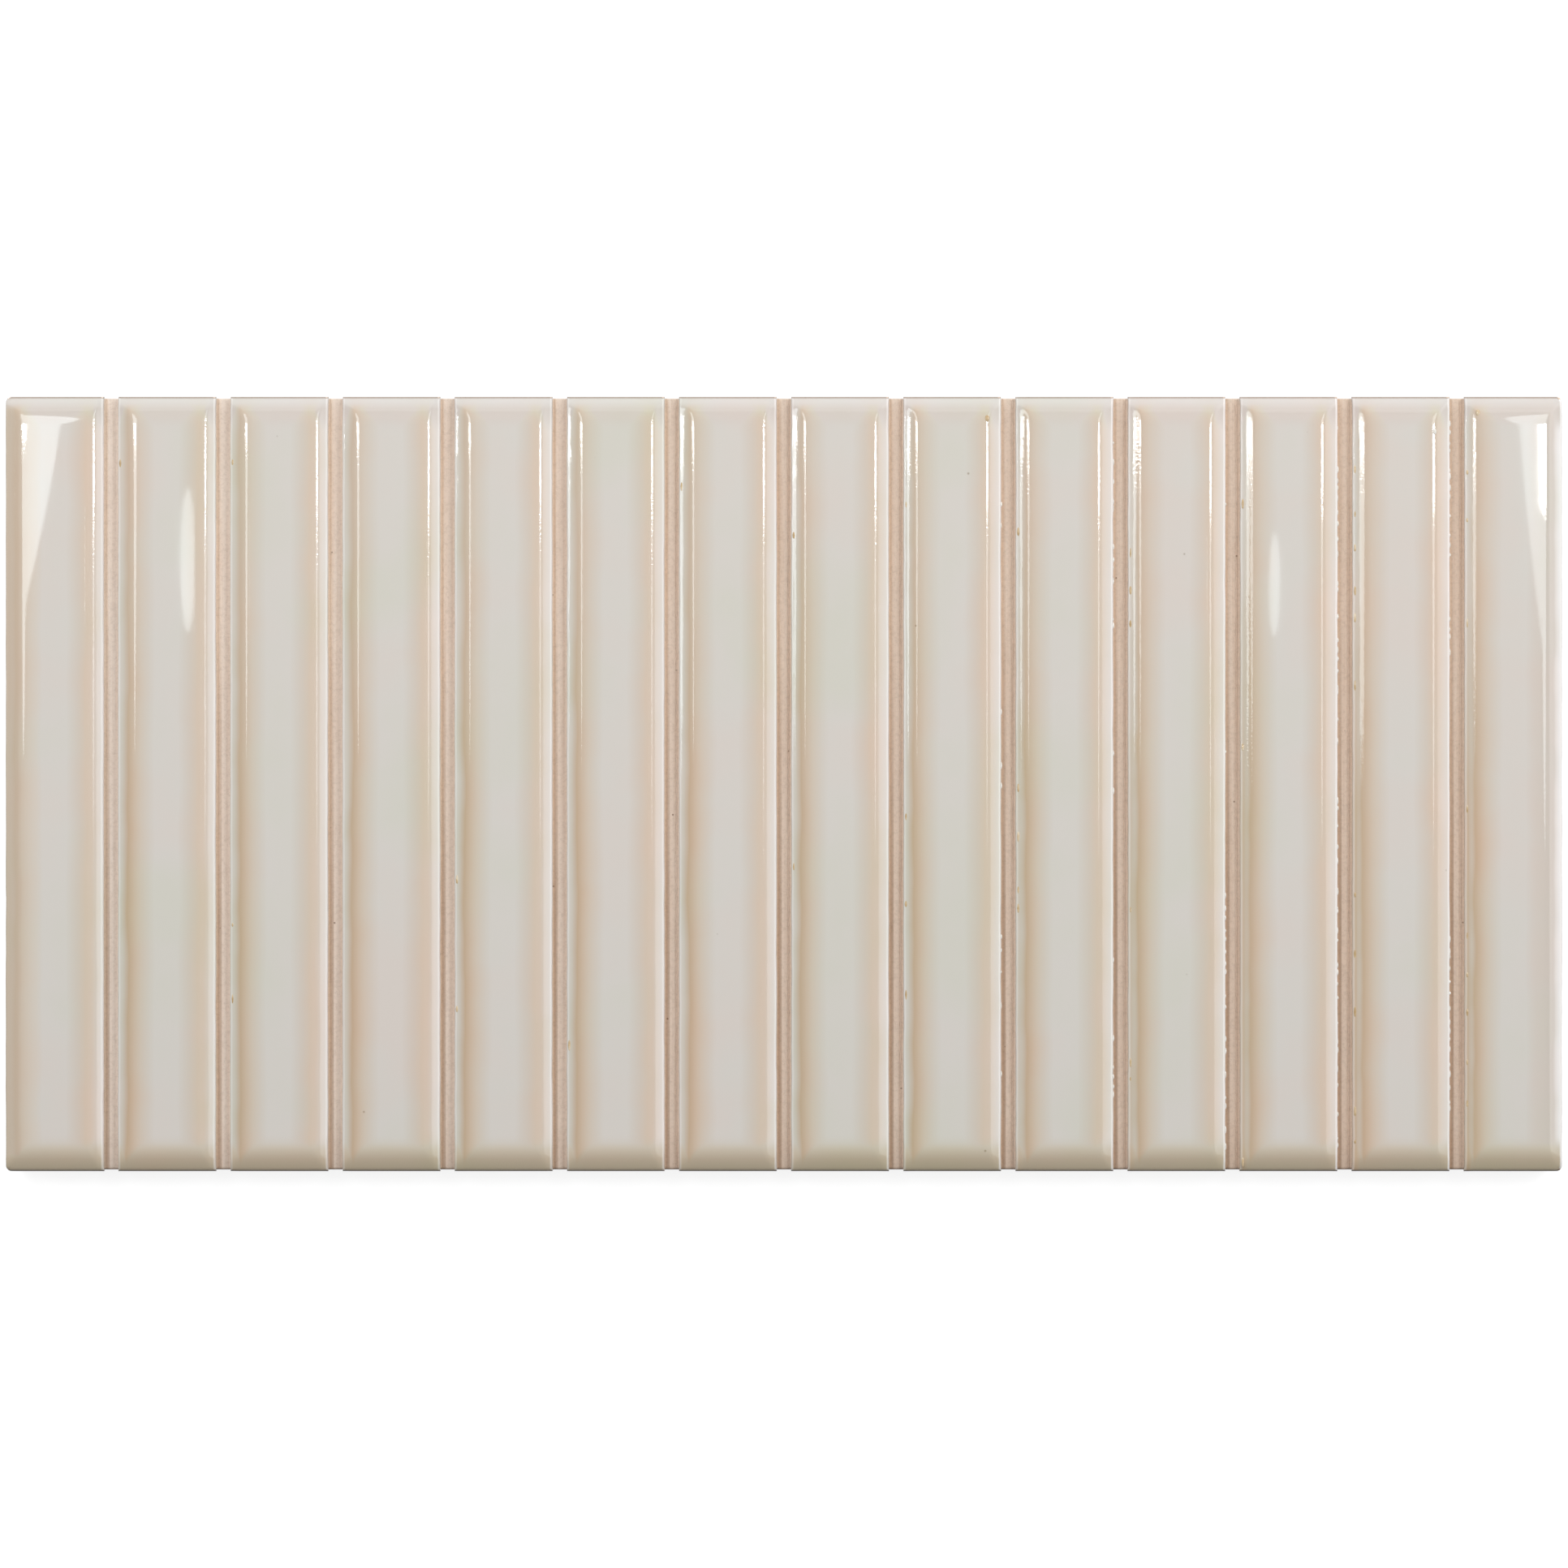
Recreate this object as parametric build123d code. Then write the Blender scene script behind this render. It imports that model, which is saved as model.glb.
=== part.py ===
from build123d import *
import os
from math import atan2, degrees, radians, tan

# A wall tile of pressed, glazed and fired clay, lying on its back with the glazed face up, in millimetres.
# X runs across the raised bars and Y along them. The origin is under the middle of the tile, on its back.
# Lengths along X and Y are to the sharp corners, before the edges are rounded.

# The whole tile, over the feet of the outermost bevels
tile_length = 250.0
tile_width = 124.5
tile_thickness = 9.0
corner_radius = 0.9

# The raised bars, each with a bevel all round it
bar_count = 14
bevel_width = 2.1
bevel_drop = 1.1
arris_radius = 6.0
foot_radius = 0.3

# The unglazed grooves between the bars, from foot to foot, with leaning walls
groove_width = 2.4
groove_depth = 1.2
wall_draft = 10.0
floor_radius = 0.4

# The slab that carries the bars, with sides that lean in towards its back
side_draft = 3.0

# The waffle of ribs on the back, which keys into the adhesive
border_width = 6.0
rib_width = 3.0
pocket_columns = 12
pocket_rows = 6
pocket_depth = 0.6
pocket_draft = 30.0

foot_height = tile_thickness - bevel_drop
floor_height = foot_height - groove_depth
wall_inset = groove_depth * tan(radians(wall_draft))
slab_length = tile_length - 2 * wall_inset
slab_width = tile_width - 2 * wall_inset
back_inset = floor_height * tan(radians(side_draft))
bar_pitch = (tile_length + groove_width) / bar_count
bar_width = bar_pitch - groove_width


def hanging(outline, height, depth, draft):
    """A prism that hangs down from an outline at a height, and narrows towards the back of the tile."""
    return Pos(0, 0, height) * Rot(180, 0, 0) * extrude(outline, amount=depth, taper=draft)


def back_pockets():
    """The shallow pockets between the ribs of the back, in a grid inside a plain border."""
    pitch_x = (slab_length - 2 * (back_inset + border_width) + rib_width) / pocket_columns
    pitch_y = (slab_width - 2 * (back_inset + border_width) + rib_width) / pocket_rows
    mouth = Rectangle(pitch_x - rib_width, pitch_y - rib_width)
    grid = GridLocations(pitch_x, pitch_y, pocket_columns, pocket_rows)
    return extrude(Sketch() + [place * mouth for place in grid], amount=pocket_depth, taper=pocket_draft)


def slab():
    """The slab from the back up to the groove floors."""
    outline = RectangleRounded(slab_length, slab_width, corner_radius - wall_inset)
    return hanging(outline, floor_height, floor_height, side_draft) - back_pockets()


def bar():
    """One raised bar on the slab: leaning walls, a round foot, a bevel all round and a soft arris."""
    foot = Rectangle(bar_width, tile_width)
    walls = hanging(foot, foot_height, groove_depth, wall_draft)
    bevels = extrude(foot, amount=bevel_drop, taper=degrees(atan2(bevel_width, bevel_drop)))
    solid = walls + Pos(0, 0, foot_height) * bevels
    for level, radius in ((-1, arris_radius), (1, foot_radius)):
        levels = solid.edges().filter_by(Plane.XY).group_by(Axis.Z)
        solid = fillet(levels[level], radius)
    return solid


def bars():
    """The row of bars, with the four corners of the tile rounded."""
    outline = RectangleRounded(tile_length, tile_width, corner_radius)
    below_foot = hanging(outline, foot_height, groove_depth, wall_draft)
    above_foot = Pos(0, 0, foot_height) * extrude(outline, amount=bevel_drop)
    blank = below_foot + above_foot
    one = bar()
    return [place * one & blank for place in GridLocations(bar_pitch, tile_width, bar_count, 1)]


def round_floors(tile):
    """The tile with a small radius along both sides of each groove floor."""
    floors = tile.faces().filter_by(Plane.XY).group_by(Axis.Z)[-2]
    return fillet(floors.edges().filter_by(Axis.Y), floor_radius)


wall_tile = round_floors(slab() + bars())

os.makedirs("parts", exist_ok=True)
export_step(wall_tile, "parts/wall_tile.step")
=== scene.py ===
import math

import bmesh
import bpy
from mathutils import Matrix, Vector


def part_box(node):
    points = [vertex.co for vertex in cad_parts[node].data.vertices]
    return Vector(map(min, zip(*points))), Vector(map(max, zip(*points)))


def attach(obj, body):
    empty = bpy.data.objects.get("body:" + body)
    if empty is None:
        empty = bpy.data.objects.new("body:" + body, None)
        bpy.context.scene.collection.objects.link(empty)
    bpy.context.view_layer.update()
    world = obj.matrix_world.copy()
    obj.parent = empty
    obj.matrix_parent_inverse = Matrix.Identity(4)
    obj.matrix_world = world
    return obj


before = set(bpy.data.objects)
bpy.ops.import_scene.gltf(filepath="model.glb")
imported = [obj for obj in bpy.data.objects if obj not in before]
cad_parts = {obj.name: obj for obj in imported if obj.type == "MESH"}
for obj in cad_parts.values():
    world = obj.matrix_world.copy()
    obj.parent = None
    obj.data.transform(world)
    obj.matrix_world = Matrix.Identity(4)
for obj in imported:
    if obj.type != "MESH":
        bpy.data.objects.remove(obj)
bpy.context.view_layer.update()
low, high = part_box("wall_tile")

# Tile body
# The tile is one slab of pale sandy clay, dust pressed face up between two dies and fired once.
# Its own solid shows wherever no glaze lies: in the grooves, on the leaning sides and on the waffled back.
MM = 0.001
bar_count = 14
groove_mouth = 2.467 * MM
groove_depth = 2.3 * MM
groove_floor = high.z - groove_depth
tile_length = high.x - low.x
tile_width = high.y - low.y
bar_pitch = (tile_length + groove_mouth) / bar_count


def linear(code):
    """The linear colour of an sRGB hex value."""
    parts = [int(code[i : i + 2], 16) / 255 for i in (1, 3, 5)]
    return [p / 12.92 if p <= 0.04045 else ((p + 0.055) / 1.055) ** 2.4 for p in parts] + [1.0]


def add(tree, kind, inputs={}, stops=(), **settings):
    """Adds a node with its settings, then fills its sockets with numbers or with other nodes' outputs."""
    node = tree.nodes.new(kind)
    for name, value in settings.items():
        setattr(node, name, value)
    if stops:
        while len(node.color_ramp.elements) < len(stops):
            node.color_ramp.elements.new(1.0)
        for element, (place, code) in zip(node.color_ramp.elements, stops):
            element.position = place
            element.color = linear(code)
    for name, value in inputs.items():
        if isinstance(name, int):
            socket = node.inputs[name]
        else:
            socket = next(s for s in node.inputs if s.name == name and s.enabled)
        if isinstance(value, bpy.types.Node):
            value = next(s for s in value.outputs if s.enabled)
        if isinstance(value, bpy.types.NodeSocket):
            tree.links.new(value, socket)
        else:
            socket.default_value = value
    return node


# Sandy biscuit, pressed and fired but bare of glaze: matt, gritty and a little pinker than the glaze.
# Grit of 0.2 mm would be lost in the render, so it is drawn at 0.5 mm. Painted shade darkens the clay towards
# the right end, across each groove floor, in the left third of each groove in the lower half and along the
# front brink.
grit = 0.5 * MM
press_streak = 0.35 * MM
streak_shrink = 0.012
kiln_blush = 14 * MM
pinhole_spacing = 5 * MM
lower_shade_starts = 30 * MM
lower_shade_full = -20 * MM
front_fade = 8 * MM

biscuit = bpy.data.materials.new("sandy_biscuit_clay")
biscuit.use_nodes = True
tree = biscuit.node_tree
tree.nodes.clear()
place = add(tree, "ShaderNodeTexCoord").outputs["Object"]
grains = add(tree, "ShaderNodeTexNoise", {"Vector": place, "Scale": 1 / grit, "Detail": 3.0, "Roughness": 0.7})
drawn_out = add(tree, "ShaderNodeMapping", {"Vector": place, "Scale": (1.0, streak_shrink, 1.0)})
streaks = add(tree, "ShaderNodeTexNoise", {"Vector": drawn_out, "Scale": 1 / press_streak, "Detail": 2.0})
blush = add(tree, "ShaderNodeTexNoise", {"Vector": place, "Scale": 1 / kiln_blush, "Detail": 2.0})
holes = add(tree, "ShaderNodeTexVoronoi", {"Vector": place, "Scale": 1 / pinhole_spacing})
clay = add(
    tree,
    "ShaderNodeValToRGB",
    {"Fac": streaks},
    stops=[(0.30, "#EAD8C9"), (0.50, "#F3E5D9"), (0.72, "#F7ECE2")],
)
warm = add(
    tree,
    "ShaderNodeMix",
    {"Factor": blush, "A": clay, "B": linear("#F2E1D3")},
    data_type="RGBA",
)
where = add(tree, "ShaderNodeSeparateXYZ", {"Vector": place})
# Painted shade: the clay is multiplied darker from the left end of the tile towards the right end.
side_shade_share = add(
    tree,
    "ShaderNodeMapRange",
    {"Value": where.outputs["X"], "From Min": low.x, "From Max": high.x},
)
side_shade_tone = add(
    tree,
    "ShaderNodeValToRGB",
    {"Fac": side_shade_share},
    stops=[(0.0, "#FFFFFF"), (0.5, "#F4EEE8"), (1.0, "#F0E8E0")],
)
toned = add(
    tree,
    "ShaderNodeMix",
    {"Factor": 1.0, "A": warm, "B": side_shade_tone},
    data_type="RGBA",
    blend_type="MULTIPLY",
)
grit_tone = add(tree, "ShaderNodeValToRGB", {"Fac": grains}, stops=[(0.28, "#CFC8C2"), (0.55, "#FFFFFF")])
gritty = add(
    tree,
    "ShaderNodeMix",
    {"Factor": 0.35, "A": toned, "B": grit_tone},
    data_type="RGBA",
    blend_type="MULTIPLY",
)
hole_tone = add(
    tree,
    "ShaderNodeValToRGB",
    {"Fac": holes},
    stops=[(0.018, "#9A8474"), (0.04, "#FFFFFF")],
)
pitted = add(
    tree,
    "ShaderNodeMix",
    {"Factor": 0.8, "A": gritty, "B": hole_tone},
    data_type="RGBA",
    blend_type="MULTIPLY",
)
in_groove = add(
    tree,
    "ShaderNodeMath",
    {0: where.outputs["X"], 1: 0.5 * bar_pitch, 2: -0.5 * bar_pitch},
    operation="WRAP",
)
groove_share = add(
    tree,
    "ShaderNodeMapRange",
    {"Value": in_groove, "From Min": -0.5 * groove_mouth, "From Max": 0.5 * groove_mouth},
)
# Painted shade across each groove: a little darker and warmer at the left foot and darker in the middle.
groove_shade = add(
    tree,
    "ShaderNodeValToRGB",
    {"Fac": groove_share},
    stops=[
        (0.02, "#FFFAF2"),
        (0.16, "#FDF6EE"),
        (0.26, "#FBFAF8"),
        (0.40, "#F5F5F5"),
        (0.60, "#F5F5F5"),
        (0.78, "#FCFCFC"),
        (0.96, "#FFFFFF"),
    ],
)
above = add(
    tree,
    "ShaderNodeMath",
    {0: where.outputs["Z"], 1: groove_floor - 0.1 * MM},
    operation="GREATER_THAN",
)
groove_shaded = add(
    tree,
    "ShaderNodeMix",
    {"Factor": above, "A": pitted, "B": groove_shade},
    data_type="RGBA",
    blend_type="MULTIPLY",
)
# Painted shade: in the lower half the left third of each groove is darker.
lower_groove_shade = add(
    tree,
    "ShaderNodeValToRGB",
    {"Fac": groove_share},
    stops=[(0.08, "#F0EBE6"), (0.18, "#DFD7D1"), (0.31, "#DAD2CC"), (0.38, "#FFFFFF")],
)
lower_shade_share = add(
    tree,
    "ShaderNodeMapRange",
    {"Value": where.outputs["Y"], "From Min": lower_shade_starts, "From Max": lower_shade_full},
)
lower_shade_part = add(tree, "ShaderNodeMath", {0: lower_shade_share, 1: above}, operation="MULTIPLY")
lower_shaded = add(
    tree,
    "ShaderNodeMix",
    {"Factor": lower_shade_part, "A": groove_shaded, "B": lower_groove_shade},
    data_type="RGBA",
    blend_type="MULTIPLY",
)
# Painted shade: a dark line along the front brink, fading paler over the first 8 mm inward.
from_front = add(
    tree,
    "ShaderNodeMapRange",
    {"Value": where.outputs["Y"], "From Min": low.y, "From Max": low.y + front_fade},
)
front_shade_tone = add(
    tree,
    "ShaderNodeValToRGB",
    {"Fac": from_front},
    stops=[(0.03, "#6A5C50"), (0.05, "#DAD2CC"), (0.08, "#F2EEEB"), (0.22, "#F7F4F2"), (1.0, "#FFFFFF")],
)
front_shaded = add(
    tree,
    "ShaderNodeMix",
    {"Factor": above, "A": lower_shaded, "B": front_shade_tone},
    data_type="RGBA",
    blend_type="MULTIPLY",
)
relief = add(tree, "ShaderNodeMath", {0: streaks, 1: 0.8, 2: grains}, operation="MULTIPLY_ADD")
grit_bump = add(tree, "ShaderNodeBump", {"Strength": 0.5, "Distance": 0.06 * MM, "Height": relief})
surface = add(
    tree,
    "ShaderNodeBsdfPrincipled",
    {"Base Color": front_shaded, "Roughness": 0.85, "IOR": 1.5, "Normal": grit_bump},
)
add(tree, "ShaderNodeOutputMaterial", {"Surface": surface})

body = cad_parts["wall_tile"]
body.data.materials.clear()
body.data.materials.append(biscuit)

# Press ridges in the grooves
# The die's groove blades are milled lengthwise, and the clay keeps their tool marks: two low ridges
# that run along the floors of the right-hand grooves, nearer the right foot. They are the slab's own clay.
ridge_sizes = {
    "Grooves": 8,
    "Row start": -bar_pitch,
    "Pitch": bar_pitch,
    "Length": tile_width - 0.8 * MM,
    "Radius": 0.10 * MM,
    "Floor": groove_floor - 0.02 * MM,
    "Wander": 0.10 * MM,
    "First": 0.52 * MM,
    "Spacing": 0.22 * MM,
}
ridge_points = 120
ridge_wave = 3 * MM


def open_tree(name, sizes):
    """An empty tree with one named input for each size."""
    tree = bpy.data.node_groups.new(name, "GeometryNodeTree")
    tree.interface.new_socket("Geometry", in_out="OUTPUT", socket_type="NodeSocketGeometry")
    for label, value in sizes.items():
        kind = {int: "NodeSocketInt", float: "NodeSocketFloat"}.get(type(value), "NodeSocketMaterial")
        tree.interface.new_socket(label, in_out="INPUT", socket_type=kind)
    return tree, add(tree, "NodeGroupInput").outputs


def grown(name, tree, sizes):
    """The plain mesh object that a tree gives with these sizes."""
    made = bpy.data.objects.new(name, bpy.data.meshes.new(name))
    bpy.context.collection.objects.link(made)
    shape = made.modifiers.new("shape", "NODES")
    shape.node_group = tree
    for item in tree.interface.items_tree:
        if item.in_out == "INPUT":
            shape[item.identifier] = sizes[item.name]
    graph = bpy.context.evaluated_depsgraph_get()
    mesh = bpy.data.meshes.new_from_object(
        made.evaluated_get(graph),
        preserve_all_data_layers=True,
        depsgraph=graph,
    )
    made.modifiers.remove(shape)
    made.data = mesh
    return made


tree, given = open_tree("press_ridges", ridge_sizes)
half_run = add(tree, "ShaderNodeMath", {0: given["Length"], 1: -0.5}, operation="MULTIPLY")
run_start = add(tree, "ShaderNodeCombineXYZ", {"Y": half_run})
run_step = add(tree, "ShaderNodeMath", {0: given["Length"], 1: ridge_points - 1.0}, operation="DIVIDE")
run_offset = add(tree, "ShaderNodeCombineXYZ", {"Y": run_step})
run = add(
    tree,
    "GeometryNodeMeshLine",
    {"Count": ridge_points, "Start Location": run_start, "Offset": run_offset},
)
path = add(tree, "GeometryNodeMeshToCurve", {"Mesh": run})
section = add(tree, "GeometryNodeCurvePrimitiveCircle", {"Resolution": 6, "Radius": given["Radius"]})
ridge = add(tree, "GeometryNodeCurveToMesh", {"Curve": path, "Profile Curve": section, "Fill Caps": True})
pair_start = add(tree, "ShaderNodeCombineXYZ", {"X": given["First"]})
pair_step = add(tree, "ShaderNodeCombineXYZ", {"X": given["Spacing"]})
pair = add(tree, "GeometryNodeMeshLine", {"Count": 2, "Start Location": pair_start, "Offset": pair_step})
pair_ridges = add(tree, "GeometryNodeInstanceOnPoints", {"Points": pair, "Instance": ridge})
row_start = add(tree, "ShaderNodeCombineXYZ", {"X": given["Row start"], "Z": given["Floor"]})
row_step = add(tree, "ShaderNodeCombineXYZ", {"X": given["Pitch"]})
row = add(
    tree,
    "GeometryNodeMeshLine",
    {"Count": given["Grooves"], "Start Location": row_start, "Offset": row_step},
)
laid = add(tree, "GeometryNodeInstanceOnPoints", {"Points": row, "Instance": pair_ridges})
solid = add(tree, "GeometryNodeRealizeInstances", {"Geometry": laid})
spot = add(tree, "GeometryNodeInputPosition")
long_waves = add(tree, "ShaderNodeVectorMath", {0: spot, 1: (1.0, 0.25, 1.0)}, operation="MULTIPLY")
wave = add(tree, "ShaderNodeTexNoise", {"Vector": long_waves, "Scale": 1 / ridge_wave, "Detail": 2.0})
about = add(tree, "ShaderNodeVectorMath", {0: wave.outputs["Color"], 1: (0.5, 0.5, 0.5)}, operation="SUBTRACT")
flat_about = add(tree, "ShaderNodeVectorMath", {0: about, 1: (1.0, 0.0, 0.5)}, operation="MULTIPLY")
swing = add(tree, "ShaderNodeVectorMath", {0: flat_about, "Scale": given["Wander"]}, operation="SCALE")
wavy = add(tree, "GeometryNodeSetPosition", {"Geometry": solid, "Offset": swing})
smooth = add(tree, "GeometryNodeSetShadeSmooth", {"Geometry": wavy})
done = add(tree, "GeometryNodeSetMaterial", {"Geometry": smooth, "Material": biscuit})
add(tree, "NodeGroupOutput", {"Geometry": done})

press_ridges = grown("press_ridges", tree, ridge_sizes)
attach(press_ridges, "root")

# Glaze coat
# A poured glaze covers each bar's face, its four bevels and the lip of its foot, and stops there.
# Fused in the kiln, it draws thin on the arrises, pools on the face and hangs in a small bead at the foot.
side_overhang = 0.18 * MM
end_overhang = 0.10 * MM
glaze_sizes = {
    "Bars": bar_count,
    "Pitch": bar_pitch,
    "Bar width": bar_pitch - groove_mouth + side_overhang,
    "Bar length": tile_width + end_overhang,
    "Tile length": tile_length + side_overhang,
    "Face height": high.z + 0.2 * MM,
    "Left slope": 0.30,
    "Left arris": 2.33 * MM,
    "Left roll": 0.192 * MM,
    "Foot slope": 0.09,
    "Foot drop": 0.52 * MM,
    "Foot roll": 0.24 * MM,
    "Right slope": 0.42,
    "Right arris": 1.92 * MM,
    "Right roll": 0.41 * MM,
    "End slope": 0.524,
    "End arris": 2.1 * MM,
    "End roll": 1.05 * MM,
    "Hip": 3.0,
    "Lip": 0.45 * MM,
    "Lip squeeze": 2.25,
    "Skirt": 0.4 * MM,
    "Corner": 0.9 * MM,
    "Crown": 0.03 * MM,
    "Edge wander": 0.22 * MM,
    "Sag": 0.004 * MM,
}
grid_across, grid_along = 57, 113
edge_wave = 5 * MM
flow_wave = 14 * MM
no_foot = 10 * MM

# Glossy cream glaze over the clay: a mirror-smooth skin, neutral where it pools on the face, warm tan where it
# thins over the arrises and the clay shines through, pale again at the foot, partly with a painted highlight.
# The outer edges of the row are plainer, tan at the left and white at the right, and a dull dark line ends the
# coat at the top and the bottom. Painted shade makes the bottom end and its line darker, and a painted
# reflection pales the left bands towards the top. The shares below run over distances from the edges of a bar,
# which the mesh carries in millimetres.
cloud = 22 * MM
arris_grain = 0.45 * MM
band_wander = 11 * MM
speck_spacing = 9 * MM
band_mm = 6.0
end_band_mm = 5.0
outer_starts = 7 * MM
outer_full = 5 * MM
foot_cream = "#F3F1EF"

glaze = bpy.data.materials.new("glossy_cream_glaze")
glaze.use_nodes = True
tree = glaze.node_tree
tree.nodes.clear()
place = add(tree, "ShaderNodeTexCoord").outputs["Object"]
edge = add(tree, "ShaderNodeAttribute", attribute_name="edge_mm").outputs["Fac"]
across = add(tree, "ShaderNodeAttribute", attribute_name="across").outputs["Fac"]
drift = add(tree, "ShaderNodeTexNoise", {"Vector": place, "Scale": 1 / band_wander, "Detail": 2.0})
shifted = add(tree, "ShaderNodeMath", {0: drift, 1: 1.2, 2: -0.6}, operation="MULTIPLY_ADD")
inward = add(tree, "ShaderNodeMath", {0: edge, 1: shifted}, operation="ADD")
span = add(tree, "ShaderNodeMath", {0: inward, 1: band_mm}, operation="DIVIDE")
left_tone = add(
    tree,
    "ShaderNodeValToRGB",
    {"Fac": span},
    stops=[
        (0.00, "#D4D1CA"),
        (0.13, "#CCC6BA"),
        (0.28, "#C6B097"),
        (0.42, "#CCB9A4"),
        (0.62, "#D0C4B5"),
        (0.85, "#D2CCC3"),
        (1.00, "#D4D0CA"),
    ],
)
right_tone = add(
    tree,
    "ShaderNodeValToRGB",
    {"Fac": span},
    stops=[
        (0.00, "#DDD8D3"),
        (0.14, "#DAD1C8"),
        (0.32, "#D6C6B6"),
        (0.46, "#D4C4B3"),
        (0.66, "#D1C7BC"),
        (0.85, "#D2CCC4"),
        (1.00, "#D4D0CA"),
    ],
)
axes = add(tree, "ShaderNodeSeparateXYZ", {"Vector": place})
# Painted reflection: the left bands turn paler and greyer towards the top of the tile.
upper_sheen_share = add(
    tree,
    "ShaderNodeMapRange",
    {"Value": axes.outputs["Y"], "From Min": -5 * MM, "From Max": 45 * MM, "To Max": 0.32},
)
left_sheened = add(
    tree,
    "ShaderNodeMix",
    {"Factor": upper_sheen_share, "A": left_tone, "B": linear("#D3CCC3")},
    data_type="RGBA",
)
rightness = add(tree, "ShaderNodeMapRange", {"Value": across, "From Min": -0.4, "From Max": 0.4})
banded = add(
    tree,
    "ShaderNodeMix",
    {"Factor": rightness, "A": left_sheened, "B": right_tone},
    data_type="RGBA",
)
outer_left = add(
    tree,
    "ShaderNodeMapRange",
    {"Value": axes.outputs["X"], "From Min": low.x + outer_starts, "From Max": low.x + outer_full},
)
outer_left_tone = add(
    tree,
    "ShaderNodeValToRGB",
    {"Fac": span},
    stops=[
        (0.03, "#C8BAA8"),
        (0.17, "#C9BBAA"),
        (0.28, "#C8B7A3"),
        (0.36, "#CAB9A6"),
        (0.45, "#CEC0AF"),
        (0.62, "#D2C7B9"),
        (0.85, "#D4CDC3"),
        (1.00, "#D4D0CA"),
    ],
)
left_ended = add(
    tree,
    "ShaderNodeMix",
    {"Factor": outer_left, "A": banded, "B": outer_left_tone},
    data_type="RGBA",
)
outer_right = add(
    tree,
    "ShaderNodeMapRange",
    {"Value": axes.outputs["X"], "From Min": high.x - outer_starts, "From Max": high.x - outer_full},
)
outer_right_tone = add(
    tree,
    "ShaderNodeValToRGB",
    {"Fac": span},
    stops=[
        (0.03, "#EFECEA"),
        (0.10, "#E8E5E3"),
        (0.17, "#E0DAD5"),
        (0.25, "#D0C7BF"),
        (0.40, "#CEC6BD"),
        (0.57, "#D0C8BF"),
        (0.75, "#D2CAC2"),
        (1.00, "#D4D0CA"),
    ],
)
outer_banded = add(
    tree,
    "ShaderNodeMix",
    {"Factor": outer_right, "A": left_ended, "B": outer_right_tone},
    data_type="RGBA",
)
end = add(tree, "ShaderNodeAttribute", attribute_name="end_mm").outputs["Fac"]
end_share = add(
    tree,
    "ShaderNodeMapRange",
    {"Value": end, "From Min": 6.0, "From Max": 3.4},
    interpolation_type="SMOOTHSTEP",
)
end_span = add(tree, "ShaderNodeMath", {0: end, 1: end_band_mm}, operation="DIVIDE")
top_tone = add(
    tree,
    "ShaderNodeValToRGB",
    {"Fac": end_span},
    stops=[(0.16, "#CFCBC7"), (0.40, "#CAC2BB"), (0.68, "#D1C9C2"), (1.00, "#D4CEC8")],
)
# Painted shade: the band at the bottom end is darker and browner than the one at the top.
bottom_tone_and_shade = add(
    tree,
    "ShaderNodeValToRGB",
    {"Fac": end_span},
    stops=[(0.06, "#BFB19B"), (0.16, "#C2B59E"), (0.40, "#C4B5A0"), (0.68, "#CBC0AE"), (0.95, "#D0C9BD")],
)
topness = add(
    tree,
    "ShaderNodeMapRange",
    {"Value": axes.outputs["Y"], "From Min": -10 * MM, "From Max": 10 * MM},
)
end_tone = add(
    tree,
    "ShaderNodeMix",
    {"Factor": topness, "A": bottom_tone_and_shade, "B": top_tone},
    data_type="RGBA",
)
near_end = add(
    tree,
    "ShaderNodeMix",
    {"Factor": end_share, "A": outer_banded, "B": end_tone},
    data_type="RGBA",
    blend_type="DARKEN",
)
bevel_share = add(
    tree,
    "ShaderNodeMapRange",
    {"Value": end, "From Min": 2.4, "From Max": 1.0, "To Min": 0.0, "To Max": 0.85},
    interpolation_type="SMOOTHSTEP",
)
tipped = add(
    tree,
    "ShaderNodeMix",
    {"Factor": bevel_share, "A": near_end, "B": end_tone},
    data_type="RGBA",
)
worn_along_x = add(
    tree,
    "ShaderNodeMapRange",
    {"Value": axes.outputs["X"], "From Min": 20 * MM, "From Max": 80 * MM, "To Max": 0.75},
)
worn_along_y = add(
    tree,
    "ShaderNodeMapRange",
    {"Value": axes.outputs["Y"], "From Min": 40 * MM, "From Max": -5 * MM},
)
worn_foot = add(tree, "ShaderNodeMapRange", {"Value": edge, "From Min": 1.2, "From Max": 0.6})
worn_side = add(tree, "ShaderNodeMapRange", {"Value": across, "From Min": 0.1, "From Max": -0.1})
worn_plan = add(tree, "ShaderNodeMath", {0: worn_along_x, 1: worn_along_y}, operation="MULTIPLY")
worn_band = add(tree, "ShaderNodeMath", {0: worn_foot, 1: worn_side}, operation="MULTIPLY")
worn_part = add(tree, "ShaderNodeMath", {0: worn_plan, 1: worn_band}, operation="MULTIPLY")
worn = add(
    tree,
    "ShaderNodeMix",
    {"Factor": worn_part, "A": tipped, "B": linear("#C2A98D")},
    data_type="RGBA",
)
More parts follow.
